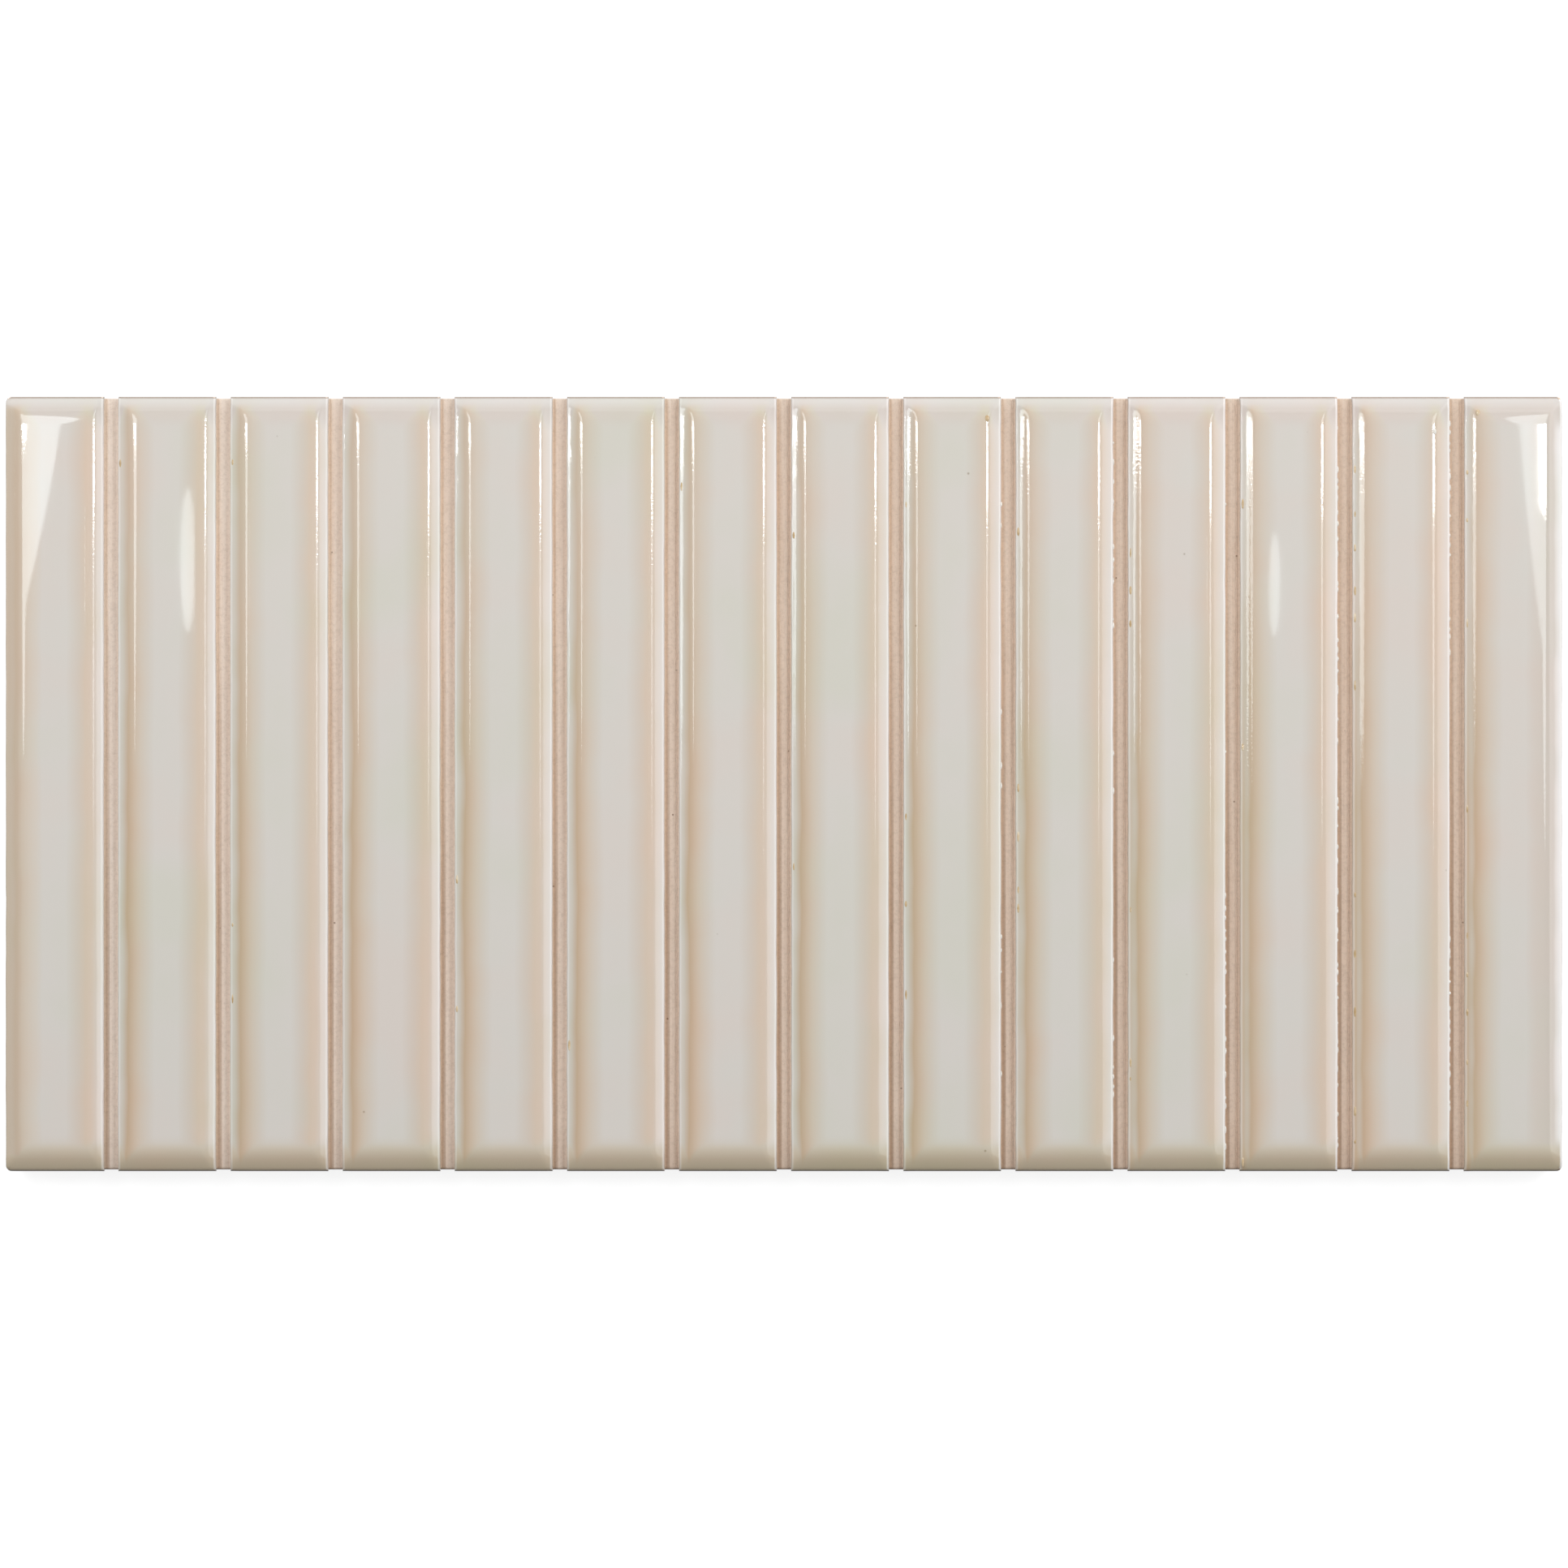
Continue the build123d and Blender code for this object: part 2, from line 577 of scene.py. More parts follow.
# Pale cream at the foot: partly the glaze bead, partly a painted highlight, stronger on right feet and towards
# the right of the tile.
foot_share = add(
    tree,
    "ShaderNodeMapRange",
    {"Value": edge, "From Min": 0.50, "From Max": 0.24},
    interpolation_type="SMOOTHSTEP",
)
right_white = add(
    tree,
    "ShaderNodeMapRange",
    {"Value": axes.outputs["X"], "From Min": -20 * MM, "From Max": 90 * MM, "To Min": 0.45, "To Max": 0.95},
)
left_white = add(
    tree,
    "ShaderNodeMapRange",
    {
        "Value": axes.outputs["X"],
        "From Min": low.x + outer_full,
        "From Max": low.x + outer_starts,
        "To Max": 0.30,
    },
)
foot_bead_and_highlight = add(
    tree,
    "ShaderNodeMapRange",
    {"Value": across, "From Min": -0.1, "From Max": 0.1, "To Min": left_white, "To Max": right_white},
)
foot_part = add(tree, "ShaderNodeMath", {0: foot_share, 1: foot_bead_and_highlight}, operation="MULTIPLY")
footed = add(
    tree,
    "ShaderNodeMix",
    {"Factor": foot_part, "A": worn, "B": linear(foot_cream)},
    data_type="RGBA",
)
brink_start = add(tree, "ShaderNodeMapRange", {"Value": topness, "To Min": 0.30, "To Max": 0.44})
brink_share = add(
    tree,
    "ShaderNodeMapRange",
    {"Value": end, "From Min": brink_start, "From Max": 0.14, "To Max": 0.85},
    interpolation_type="SMOOTHSTEP",
)
brink_gloss = add(tree, "ShaderNodeMapRange", {"Value": brink_share, "To Min": 0.5, "To Max": 0.05})
# The dull line of bare clay at each end is much darker at the bottom end, where it is painted shade.
brink_tone_and_shade = add(
    tree,
    "ShaderNodeMix",
    {"Factor": topness, "A": linear("#54483D"), "B": linear("#A08F82")},
    data_type="RGBA",
)
brinked = add(
    tree,
    "ShaderNodeMix",
    {"Factor": brink_share, "A": footed, "B": brink_tone_and_shade},
    data_type="RGBA",
)
mottle = add(tree, "ShaderNodeTexNoise", {"Vector": place, "Scale": 1 / cloud, "Detail": 3.0})
mottle_tone = add(
    tree,
    "ShaderNodeValToRGB",
    {"Fac": mottle},
    stops=[(0.30, "#FFF8F6"), (0.50, "#FCFAF9"), (0.70, "#F8F9F3")],
)
clouded = add(
    tree,
    "ShaderNodeMix",
    {"Factor": 0.9, "A": brinked, "B": mottle_tone},
    data_type="RGBA",
    blend_type="MULTIPLY",
)
specks = add(tree, "ShaderNodeTexVoronoi", {"Vector": place, "Scale": 1 / speck_spacing})
speck_tone = add(
    tree,
    "ShaderNodeValToRGB",
    {"Fac": specks},
    stops=[(0.012, "#B5A895"), (0.028, "#FFFFFF")],
)
specked = add(
    tree,
    "ShaderNodeMix",
    {"Factor": 0.6, "A": clouded, "B": speck_tone},
    data_type="RGBA",
    blend_type="MULTIPLY",
)
sheen = add(
    tree,
    "ShaderNodeMapRange",
    {"Value": mottle, "From Min": 0.3, "From Max": 0.7, "To Min": 0.015, "To Max": 0.03},
)
grains = add(tree, "ShaderNodeTexNoise", {"Vector": place, "Scale": 1 / arris_grain, "Detail": 2.0})
thinness = add(
    tree,
    "ShaderNodeMapRange",
    {"Value": edge, "From Min": 3.6, "From Max": 2.0, "To Min": 0.0, "To Max": 0.20},
)
grain_bump = add(
    tree,
    "ShaderNodeBump",
    {"Strength": thinness, "Distance": 0.03 * MM, "Height": grains},
)
surface = add(
    tree,
    "ShaderNodeBsdfPrincipled",
    {
        "Base Color": specked,
        "Roughness": sheen,
        "IOR": 1.52,
        "Specular IOR Level": brink_gloss,
        "Normal": grain_bump,
    },
)
add(tree, "ShaderNodeOutputMaterial", {"Surface": surface})

tree, given = open_tree("glaze_coat", glaze_sizes)
plan = add(
    tree,
    "GeometryNodeMeshGrid",
    {"Size X": 2.0, "Size Y": 2.0, "Vertices X": grid_across, "Vertices Y": grid_along},
)
square = add(tree, "GeometryNodeInputPosition")
side = add(tree, "ShaderNodeVectorMath", {0: square}, operation="SIGN")
bar_size = add(tree, "ShaderNodeCombineXYZ", {"X": given["Bar width"], "Y": given["Bar length"]})
half = add(tree, "ShaderNodeVectorMath", {0: bar_size, "Scale": 0.5}, operation="SCALE")
outward = add(tree, "ShaderNodeVectorMath", {0: square}, operation="ABSOLUTE")
from_edge = add(tree, "ShaderNodeVectorMath", {0: (1.0, 1.0, 0.0), 1: outward}, operation="SUBTRACT")
crowded = add(tree, "ShaderNodeVectorMath", {0: from_edge, 1: from_edge}, operation="MULTIPLY")
depth = add(tree, "ShaderNodeVectorMath", {0: crowded, 1: half}, operation="MULTIPLY")
reach = add(tree, "ShaderNodeVectorMath", {0: half, 1: depth}, operation="SUBTRACT")
flat_place = add(tree, "ShaderNodeVectorMath", {0: reach, 1: side}, operation="MULTIPLY")
near = add(tree, "ShaderNodeSeparateXYZ", {"Vector": depth})
middle = add(tree, "ShaderNodeSeparateXYZ", {"Vector": square})
on_right = add(tree, "ShaderNodeMath", {0: middle.outputs["X"], 1: 0.0}, operation="GREATER_THAN")
slope, arris, roll = (
    add(tree, "ShaderNodeMix", {"Factor": on_right, "A": given["Left " + what], "B": given["Right " + what]})
    for what in ("slope", "arris", "roll")
)
to_arris = add(tree, "ShaderNodeMath", {0: arris, 1: near.outputs["X"]}, operation="SUBTRACT")
side_plane = add(tree, "ShaderNodeMath", {0: to_arris, 1: slope}, operation="MULTIPLY")
foot_rise = add(tree, "ShaderNodeMath", {0: near.outputs["X"], 1: given["Foot slope"]}, operation="MULTIPLY")
foot_plane = add(tree, "ShaderNodeMath", {0: given["Foot drop"], 1: foot_rise}, operation="SUBTRACT")
left_foot = add(tree, "ShaderNodeMath", {0: on_right, 1: no_foot, 2: foot_plane}, operation="MULTIPLY_ADD")
fall_x = add(
    tree,
    "ShaderNodeMath",
    {0: side_plane, 1: left_foot, 2: given["Foot roll"]},
    operation="SMOOTH_MIN",
)
to_end = add(tree, "ShaderNodeMath", {0: given["End arris"], 1: near.outputs["Y"]}, operation="SUBTRACT")
fall_y = add(tree, "ShaderNodeMath", {0: to_end, 1: given["End slope"]}, operation="MULTIPLY")
hip_powers = []
for fall, radius in ((fall_x, roll), (fall_y, given["End roll"])):
    inner = add(tree, "ShaderNodeMath", {0: radius, 1: -1.0}, operation="MULTIPLY")
    turn = add(tree, "ShaderNodeMapRange", {"Value": fall, "From Min": inner, "From Max": radius})
    turn_sq = add(tree, "ShaderNodeMath", {0: turn, 1: 2.0}, operation="POWER")
    rounded = add(tree, "ShaderNodeMath", {0: turn_sq, 1: radius}, operation="MULTIPLY")
    beyond = add(tree, "ShaderNodeMath", {0: fall, 1: radius}, operation="SUBTRACT")
    straight = add(tree, "ShaderNodeMath", {0: beyond, 1: 0.0}, operation="MAXIMUM")
    bevel = add(tree, "ShaderNodeMath", {0: rounded, 1: straight}, operation="ADD")
    hip_powers.append(add(tree, "ShaderNodeMath", {0: bevel, 1: given["Hip"]}, operation="POWER"))
hip_sum = add(tree, "ShaderNodeMath", {0: hip_powers[0], 1: hip_powers[1]}, operation="ADD")
hip_root = add(tree, "ShaderNodeMath", {0: 1.0, 1: given["Hip"]}, operation="DIVIDE")
rolled = add(tree, "ShaderNodeMath", {0: hip_sum, 1: hip_root}, operation="POWER")
side_lip = add(tree, "ShaderNodeMath", {0: near.outputs["X"], 1: given["Lip squeeze"]}, operation="MULTIPLY")
nearest = add(tree, "ShaderNodeMath", {0: side_lip, 1: near.outputs["Y"]}, operation="MINIMUM")
in_lip = add(tree, "ShaderNodeMath", {0: nearest, 1: given["Lip"]}, operation="MINIMUM")
lip_left = add(tree, "ShaderNodeMath", {0: given["Lip"], 1: in_lip}, operation="SUBTRACT")
lip_sq = add(tree, "ShaderNodeMath", {0: given["Lip"], 1: 2.0}, operation="POWER")
left_sq = add(tree, "ShaderNodeMath", {0: lip_left, 1: 2.0}, operation="POWER")
under = add(tree, "ShaderNodeMath", {0: lip_sq, 1: left_sq}, operation="SUBTRACT")
arc = add(tree, "ShaderNodeMath", {0: under}, operation="SQRT")
lip_drop = add(tree, "ShaderNodeMath", {0: given["Lip"], 1: arc}, operation="SUBTRACT")
bow = add(tree, "ShaderNodeMath", {0: middle.outputs["X"], 1: 2.0}, operation="POWER")
bowed = add(tree, "ShaderNodeMath", {0: bow, 1: given["Crown"], 2: rolled}, operation="MULTIPLY_ADD")
lowered = add(tree, "ShaderNodeMath", {0: bowed, 1: lip_drop}, operation="ADD")
height = add(tree, "ShaderNodeMath", {0: given["Face height"], 1: lowered}, operation="SUBTRACT")
lift = add(tree, "ShaderNodeCombineXYZ", {"Z": height})
cap_place = add(tree, "ShaderNodeVectorMath", {0: flat_place, 1: lift}, operation="ADD")
edge_mm = add(tree, "ShaderNodeMath", {0: near.outputs["X"], 1: MM}, operation="DIVIDE")
end_mm = add(tree, "ShaderNodeMath", {0: near.outputs["Y"], 1: MM}, operation="DIVIDE")
ended = add(
    tree,
    "GeometryNodeStoreNamedAttribute",
    {"Geometry": plan, "Name": "end_mm", "Value": end_mm},
    data_type="FLOAT",
    domain="POINT",
)
marked = add(
    tree,
    "GeometryNodeStoreNamedAttribute",
    {"Geometry": ended, "Name": "edge_mm", "Value": edge_mm},
    data_type="FLOAT",
    domain="POINT",
)
sided = add(
    tree,
    "GeometryNodeStoreNamedAttribute",
    {"Geometry": marked, "Name": "across", "Value": middle.outputs["X"]},
    data_type="FLOAT",
    domain="POINT",
)
cap = add(tree, "GeometryNodeSetPosition", {"Geometry": sided, "Position": cap_place})
rim = add(tree, "GeometryNodeInputMeshEdgeNeighbors")
on_rim = add(tree, "FunctionNodeCompare", {"A": rim, "B": 1}, data_type="INT", operation="EQUAL")
skirt_drop = add(tree, "ShaderNodeMath", {0: given["Skirt"], 1: -1.0}, operation="MULTIPLY")
skirt_way = add(tree, "ShaderNodeCombineXYZ", {"Z": skirt_drop})
skirted = add(
    tree,
    "GeometryNodeExtrudeMesh",
    {"Mesh": cap, "Selection": on_rim, "Offset": skirt_way, "Offset Scale": 1.0},
    mode="EDGES",
)
last = add(tree, "ShaderNodeMath", {0: given["Bars"], 1: -1.0}, operation="ADD")
row_half = add(tree, "ShaderNodeMath", {0: last, 1: given["Pitch"]}, operation="MULTIPLY")
row_left = add(tree, "ShaderNodeMath", {0: row_half, 1: -0.5}, operation="MULTIPLY")
row_start = add(tree, "ShaderNodeCombineXYZ", {"X": row_left})
row_step = add(tree, "ShaderNodeCombineXYZ", {"X": given["Pitch"]})
row = add(
    tree,
    "GeometryNodeMeshLine",
    {"Count": given["Bars"], "Start Location": row_start, "Offset": row_step},
)
laid = add(tree, "GeometryNodeInstanceOnPoints", {"Points": row, "Instance": skirted})
solid = add(tree, "GeometryNodeRealizeInstances", {"Geometry": laid})
spot = add(tree, "GeometryNodeInputPosition")
tile_size = add(tree, "ShaderNodeCombineXYZ", {"X": given["Tile length"], "Y": given["Bar length"]})
tile_half = add(tree, "ShaderNodeVectorMath", {0: tile_size, "Scale": 0.5}, operation="SCALE")
spot_side = add(tree, "ShaderNodeVectorMath", {0: spot}, operation="SIGN")
spot_out = add(tree, "ShaderNodeVectorMath", {0: spot}, operation="ABSOLUTE")
spot_in = add(tree, "ShaderNodeVectorMath", {0: tile_half, 1: spot_out}, operation="SUBTRACT")
corner = add(tree, "ShaderNodeCombineXYZ", {"X": given["Corner"], "Y": given["Corner"]})
past = add(tree, "ShaderNodeVectorMath", {0: corner, 1: spot_in}, operation="SUBTRACT")
in_corner = add(tree, "ShaderNodeVectorMath", {0: past, 1: (0.0, 0.0, 0.0)}, operation="MAXIMUM")
flat_corner = add(tree, "ShaderNodeVectorMath", {0: in_corner, 1: (1.0, 1.0, 0.0)}, operation="MULTIPLY")
corner_xy = add(tree, "ShaderNodeSeparateXYZ", {"Vector": flat_corner})
longer = add(
    tree,
    "ShaderNodeMath",
    {0: corner_xy.outputs["X"], 1: corner_xy.outputs["Y"]},
    operation="MAXIMUM",
)
spoke = add(tree, "ShaderNodeVectorMath", {0: flat_corner}, operation="LENGTH").outputs["Value"]
shrink = add(tree, "ShaderNodeMath", {0: longer, 1: spoke}, operation="DIVIDE")
drawn_in = add(tree, "ShaderNodeVectorMath", {0: flat_corner, "Scale": shrink}, operation="SCALE")
corner_move = add(tree, "ShaderNodeVectorMath", {0: drawn_in, 1: flat_corner}, operation="SUBTRACT")
corner_shift = add(tree, "ShaderNodeVectorMath", {0: corner_move, 1: spot_side}, operation="MULTIPLY")
cornered = add(tree, "GeometryNodeSetPosition", {"Geometry": solid, "Offset": corner_shift})
edge_now = add(tree, "GeometryNodeInputNamedAttribute", {"Name": "edge_mm"}, data_type="FLOAT")
edge_share = add(
    tree,
    "ShaderNodeMapRange",
    {"Value": edge_now, "From Min": 1.6, "From Max": 0.0},
    interpolation_type="SMOOTHSTEP",
)
edge_waves = add(tree, "ShaderNodeTexNoise", {"Vector": spot, "Scale": 1 / edge_wave, "Detail": 3.0})
edge_about = add(
    tree,
    "ShaderNodeVectorMath",
    {0: edge_waves.outputs["Color"], 1: (0.5, 0.5, 0.5)},
    operation="SUBTRACT",
)
edge_flat = add(tree, "ShaderNodeVectorMath", {0: edge_about, 1: (1.0, 0.5, 0.2)}, operation="MULTIPLY")
edge_sized = add(tree, "ShaderNodeVectorMath", {0: edge_flat, "Scale": given["Edge wander"]}, operation="SCALE")
edge_shift = add(tree, "ShaderNodeVectorMath", {0: edge_sized, "Scale": edge_share}, operation="SCALE")
ragged = add(tree, "GeometryNodeSetPosition", {"Geometry": cornered, "Offset": edge_shift})
long_flow = add(tree, "ShaderNodeVectorMath", {0: spot, 1: (1.0, 0.3, 1.0)}, operation="MULTIPLY")
flow = add(tree, "ShaderNodeTexNoise", {"Vector": long_flow, "Scale": 1 / flow_wave, "Detail": 1.0})
flow_about = add(tree, "ShaderNodeMath", {0: flow, 1: -0.5}, operation="ADD")
flow_sized = add(tree, "ShaderNodeMath", {0: flow_about, 1: given["Sag"]}, operation="MULTIPLY")
flow_shift = add(tree, "ShaderNodeCombineXYZ", {"Z": flow_sized})
flowed = add(tree, "GeometryNodeSetPosition", {"Geometry": ragged, "Offset": flow_shift})
smooth = add(tree, "GeometryNodeSetShadeSmooth", {"Geometry": flowed})
done = add(tree, "GeometryNodeSetMaterial", {"Geometry": smooth, "Material": glaze})
add(tree, "NodeGroupOutput", {"Geometry": done})

glaze_coat = grown("glaze_coat", tree, glaze_sizes)
shell = bmesh.new()
shell.from_mesh(glaze_coat.data)
bmesh.ops.holes_fill(shell, edges=[e for e in shell.edges if e.is_boundary])
bmesh.ops.recalc_face_normals(shell, faces=shell.faces)
shell.to_mesh(glaze_coat.data)
shell.free()
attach(glaze_coat, "root")

# Glaze runs and beads
# Where the glaze ran over the left feet it stands in small amber drops, and along the right feet of the last
# bars it broke into a fringe of white beads. Both are the glaze itself, thick and glassy.
amber_cloud = 1.2 * MM
pearl_cloud = 0.8 * MM
drop_patch = 14 * MM
luck_seed, size_seed = 21, 33

# Amber glaze, thick enough to look like honey.
amber = bpy.data.materials.new("amber_glaze_run")
amber.use_nodes = True
tree = amber.node_tree
tree.nodes.clear()
place = add(tree, "ShaderNodeTexCoord").outputs["Object"]
depth_cloud = add(tree, "ShaderNodeTexNoise", {"Vector": place, "Scale": 1 / amber_cloud, "Detail": 2.0})
amber_tone = add(
    tree,
    "ShaderNodeValToRGB",
    {"Fac": depth_cloud},
    stops=[(0.35, "#B79A70"), (0.55, "#CDB592"), (0.70, "#DACBB2")],
)
surface = add(
    tree,
    "ShaderNodeBsdfPrincipled",
    {"Base Color": amber_tone, "Roughness": 0.06, "IOR": 1.52},
)
add(tree, "ShaderNodeOutputMaterial", {"Surface": surface})

# White glaze, milky and wet-looking.
pearl = bpy.data.materials.new("white_glaze_bead")
pearl.use_nodes = True
tree = pearl.node_tree
tree.nodes.clear()
place = add(tree, "ShaderNodeTexCoord").outputs["Object"]
bead_cloud = add(tree, "ShaderNodeTexNoise", {"Vector": place, "Scale": 1 / pearl_cloud, "Detail": 2.0})
pearl_tone = add(
    tree,
    "ShaderNodeValToRGB",
    {"Fac": bead_cloud},
    stops=[(0.35, "#DDD6CC"), (0.60, "#EDEAE4")],
)
surface = add(
    tree,
    "ShaderNodeBsdfPrincipled",
    {"Base Color": pearl_tone, "Roughness": 0.08, "IOR": 1.52},
)
add(tree, "ShaderNodeOutputMaterial", {"Surface": surface})

amber_sizes = {
    "Bars": bar_count,
    "Pitch": bar_pitch,
    "Bar length": tile_width - 6 * MM,
    "Edge": -0.5 * (bar_pitch - groove_mouth) + 0.36 * MM,
    "Height": high.z - 0.32 * MM,
    "Places": 16,
    "First bar": 5.0,
    "Last bar": 13.0,
    "Least": 0.06,
    "Most": 0.6,
    "Wide": 0.20 * MM,
    "Long": 0.72 * MM,
    "Tall": 0.09 * MM,
    "Scatter": 3.4 * MM,
    "Seed": 4,
    "Material": amber,
}
bead_sizes = dict(
    amber_sizes,
    **{
        "Edge": 0.5 * (bar_pitch - groove_mouth) + 0.05 * MM,
        "Height": high.z - 0.86 * MM,
        "Places": 64,
        "First bar": 7.0,
        "Last bar": 12.0,
        "Least": 0.0,
        "Most": 0.9,
        "Wide": 0.17 * MM,
        "Long": 0.48 * MM,
        "Tall": 0.15 * MM,
        "Scatter": 0.8 * MM,
        "Seed": 9,
        "Material": pearl,
    },
)
tree, given = open_tree("glaze_drops", amber_sizes)
total = add(tree, "ShaderNodeMath", {0: given["Bars"], 1: given["Places"]}, operation="MULTIPLY")
spots = add(tree, "GeometryNodePoints", {"Count": total})
number = add(tree, "GeometryNodeInputIndex")
turns = add(tree, "ShaderNodeMath", {0: number, 1: given["Places"]}, operation="DIVIDE")
bar = add(tree, "ShaderNodeMath", {0: turns}, operation="FLOOR")
share = add(tree, "ShaderNodeMath", {0: turns, 1: bar}, operation="SUBTRACT")
last = add(tree, "ShaderNodeMath", {0: given["Bars"], 1: -1.0}, operation="ADD")
half_row = add(tree, "ShaderNodeMath", {0: last, 1: 0.5}, operation="MULTIPLY")
from_middle = add(tree, "ShaderNodeMath", {0: bar, 1: half_row}, operation="SUBTRACT")
drop_x = add(
    tree,
    "ShaderNodeMath",
    {0: from_middle, 1: given["Pitch"], 2: given["Edge"]},
    operation="MULTIPLY_ADD",
)
from_end = add(tree, "ShaderNodeMath", {0: share, 1: -0.49}, operation="ADD")
jitter = add(
    tree,
    "FunctionNodeRandomValue",
    {"Min": -1.0, "Max": 1.0, "ID": number, "Seed": given["Seed"]},
    data_type="FLOAT",
)
even_y = add(tree, "ShaderNodeMath", {0: from_end, 1: given["Bar length"]}, operation="MULTIPLY")
drop_y = add(
    tree,
    "ShaderNodeMath",
    {0: jitter.outputs[1], 1: given["Scatter"], 2: even_y},
    operation="MULTIPLY_ADD",
)
drop_place = add(tree, "ShaderNodeCombineXYZ", {"X": drop_x, "Y": drop_y, "Z": given["Height"]})
placed = add(tree, "GeometryNodeSetPosition", {"Geometry": spots, "Position": drop_place})
odds = add(
    tree,
    "ShaderNodeMapRange",
    {
        "Value": bar,
        "From Min": given["First bar"],
        "From Max": last,
        "To Min": given["Least"],
        "To Max": given["Most"],
    },
)
patch = add(tree, "ShaderNodeTexNoise", {"Vector": drop_place, "Scale": 1 / drop_patch, "Detail": 0.0})
patchy = add(tree, "ShaderNodeMapRange", {"Value": patch, "From Min": 0.35, "From Max": 0.6, "To Max": 1.5})
chance = add(tree, "ShaderNodeMath", {0: odds, 1: patchy}, operation="MULTIPLY")
luck = add(
    tree,
    "FunctionNodeRandomValue",
    {"Min": 0.0, "Max": 1.0, "ID": number, "Seed": luck_seed},
    data_type="FLOAT",
)
missed = add(tree, "FunctionNodeCompare", {"A": luck.outputs[1], "B": chance}, operation="GREATER_THAN")
past_last = add(tree, "FunctionNodeCompare", {"A": bar, "B": given["Last bar"]}, operation="GREATER_THAN")
dropped = add(tree, "FunctionNodeBooleanMath", {0: missed, 1: past_last}, operation="OR")
kept = add(tree, "GeometryNodeDeleteGeometry", {"Geometry": placed, "Selection": dropped})
ball = add(tree, "GeometryNodeMeshUVSphere", {"Segments": 8, "Rings": 6, "Radius": 1.0})
drop_size = add(tree, "ShaderNodeCombineXYZ", {"X": given["Wide"], "Y": given["Long"], "Z": given["Tall"]})
growth = add(
    tree,
    "FunctionNodeRandomValue",
    {"Min": (0.7, 0.5, 0.8), "Max": (1.3, 1.4, 1.1), "Seed": size_seed},
    data_type="FLOAT_VECTOR",
)
scaled = add(tree, "ShaderNodeVectorMath", {0: drop_size, 1: growth}, operation="MULTIPLY")
drops = add(tree, "GeometryNodeInstanceOnPoints", {"Points": kept, "Instance": ball, "Scale": scaled})
solid = add(tree, "GeometryNodeRealizeInstances", {"Geometry": drops})
smooth = add(tree, "GeometryNodeSetShadeSmooth", {"Geometry": solid})
done = add(tree, "GeometryNodeSetMaterial", {"Geometry": smooth, "Material": given["Material"]})
add(tree, "NodeGroupOutput", {"Geometry": done})

for name, sizes in (("amber_runs", amber_sizes), ("white_beads", bead_sizes)):
    drops_piece = grown(name, tree, sizes)
    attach(drops_piece, "root")

# Glaze lumps
# Three spots near the top edge where the glaze gathered into a lump before it set: two amber, one clear white.
# They are fused into the coat and stand a tenth of a millimetre over it. Places and radii are in millimetres.
lump_places = (
    ("amber_lumps", amber, ((111.4, 59.6, 9.02), (32.6, 58.7, 9.12))),
    ("white_lump", pearl, ((104.4, 56.6, 9.14),)),
)
lump_wide, lump_long, lump_tall = 0.36, 0.52, 0.13
for name, material, places in lump_places:
    lumps = bmesh.new()
    for place_mm in places:
        sized = Matrix.Diagonal((lump_wide * MM, lump_long * MM, lump_tall * MM, 1.0))
        bmesh.ops.create_uvsphere(
            lumps,
            u_segments=16,
            v_segments=10,
            radius=1.0,
            matrix=Matrix.Translation(MM * Vector(place_mm)) @ sized,
        )
    for face in lumps.faces:
        face.smooth = True
    lump_mesh = bpy.data.meshes.new(name)
    lumps.to_mesh(lump_mesh)
    lumps.free()
    lump_mesh.materials.append(material)
    lump_piece = bpy.data.objects.new(name, lump_mesh)
    bpy.context.collection.objects.link(lump_piece)
    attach(lump_piece, "root")

# Floor
# A plain white table under the tile, white to the camera and in the glaze's mirror, with a faint shadow
# beside the tile.
floor_glow = 0.87
table = bpy.data.materials.new("white_table")
table.use_nodes = True
tree = table.node_tree
tree.nodes.clear()
seen = add(tree, "ShaderNodeLightPath")
straight = add(
    tree,
    "ShaderNodeMath",
    {0: seen.outputs["Is Camera Ray"], 1: seen.outputs["Is Glossy Ray"]},
    operation="MAXIMUM",
)
lit = add(tree, "ShaderNodeBsdfDiffuse", {"Color": linear("#959595")})
glow = add(tree, "ShaderNodeEmission", {"Color": linear("#FFFFFF"), "Strength": floor_glow})
both = add(tree, "ShaderNodeAddShader", {0: lit, 1: glow})
shown = add(tree, "ShaderNodeMixShader", {0: straight, 1: lit, 2: both})
add(tree, "ShaderNodeOutputMaterial", {"Surface": shown})
floor_mesh = bpy.data.meshes.new("floor")
reach_m = 3.0
floor_mesh.from_pydata(
    [(-reach_m, -reach_m, 0), (reach_m, -reach_m, 0), (reach_m, reach_m, 0), (-reach_m, reach_m, 0)],
    [],
    [(0, 1, 2, 3)],
)
floor_mesh.materials.append(table)
floor = bpy.data.objects.new("floor", floor_mesh)
bpy.context.collection.objects.link(floor)

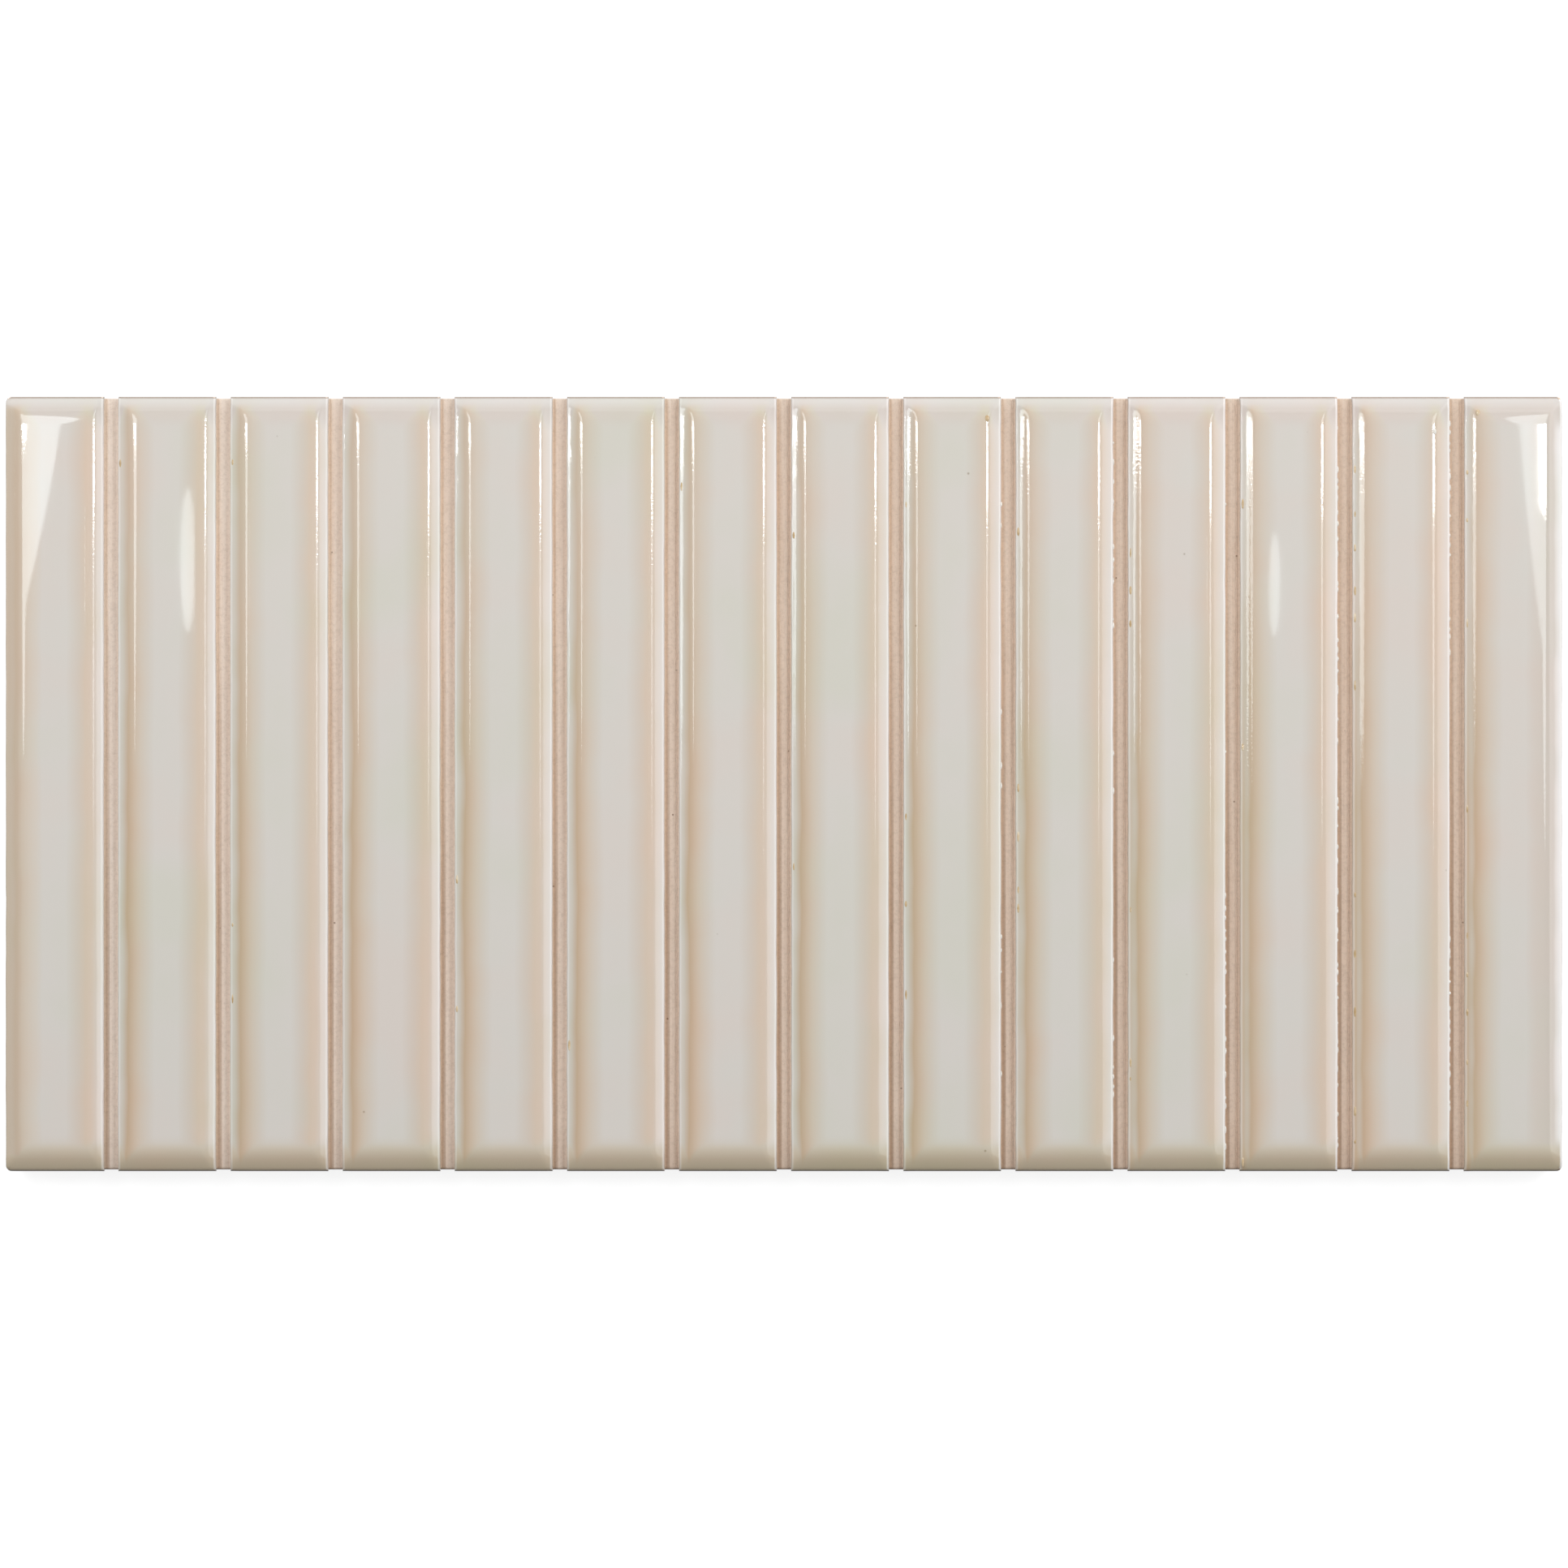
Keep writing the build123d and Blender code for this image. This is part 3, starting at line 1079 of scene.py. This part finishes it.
# Lights
# A broad screen low beyond the top edge and two weaker ones low at the sides light the bevels that turn to
# them. At the upper left and right a bright core in a dim oval rim draws the lines on the arrises, and a fill
# that the glaze doesn't mirror lights the faces. Two small ovals give the faces of two bars a glint.
# Each lamp has a name, a place, a shape, a width, a height, a turn in degrees and a power in watts.
cool_white = (0.86, 0.97, 1.0)
room_glow = 0.03
lamps = [
    ("top_screen", (0.13, 1.06, 0.76), "RECTANGLE", 2.2, 1.2, 0.0, 10.0),
    ("right_screen", (0.90, 0.24, 0.76), "RECTANGLE", 0.9, 0.9, 0.0, 4.4),
    ("left_screen", (-0.98, 0.22, 0.68), "RECTANGLE", 0.45, 0.5, 0.0, 2.2),
    ("left_fill", (-0.430, 0.365, 0.862), "RECTANGLE", 0.360, 0.420, 0.0, 3.4),
    ("left_rim", (-0.292, 0.200, 0.859), "ELLIPSE", 0.134, 0.380, 0.0, 0.68),
    ("left_core", (-0.3221, 0.1196, 0.855), "RECTANGLE", 0.150, 0.013, -3.0, 0.156),
    ("right_fill", (0.430, 0.365, 0.862), "RECTANGLE", 0.360, 0.420, 0.0, 2.9),
    ("right_rim", (0.2826, 0.200, 0.859), "ELLIPSE", 0.100, 0.440, 0.0, 0.46),
    ("right_core", (0.2982, 0.1060, 0.855), "RECTANGLE", 0.107, 0.032, 2.0, 0.274),
    ("left_glint", (-0.189, 0.072, 0.859), "ELLIPSE", 0.0070, 0.046, 0.0, 0.0043),
    ("right_glint", (0.156, 0.064, 0.859), "ELLIPSE", 0.0047, 0.033, 0.0, 0.0016),
]
for name, spot, shape, wide, tall, turn_deg, watts in lamps:
    lamp = bpy.data.lights.new(name, "AREA")
    lamp.shape = shape
    lamp.size = wide
    lamp.size_y = tall
    lamp.energy = watts
    if name.endswith(("rim", "glint")):
        lamp.color = cool_white
    holder = bpy.data.objects.new(name, lamp)
    holder.location = spot
    holder.visible_glossy = not name.endswith("fill")
    if name.endswith("screen"):
        holder.rotation_euler = Vector(spot).to_track_quat("Z", "Y").to_euler()
    else:
        holder.rotation_euler.z = math.radians(turn_deg)
    bpy.context.collection.objects.link(holder)

world = bpy.data.worlds.new("studio")
world.use_nodes = True
world.node_tree.nodes["Background"].inputs["Color"].default_value = linear("#FFFFFF")
world.node_tree.nodes["Background"].inputs["Strength"].default_value = room_glow
bpy.context.scene.world = world

# Camera
# It stands straight over the middle of the tile, with the bars running up the picture.
lens = bpy.data.cameras.new("camera")
lens.sensor_width = 36.0
lens.lens = 121.4
camera = bpy.data.objects.new("camera", lens)
camera.location = (0.0, 0.0, 0.858)
bpy.context.collection.objects.link(camera)
bpy.context.scene.camera = camera
bpy.context.scene.view_settings.view_transform = "Standard"
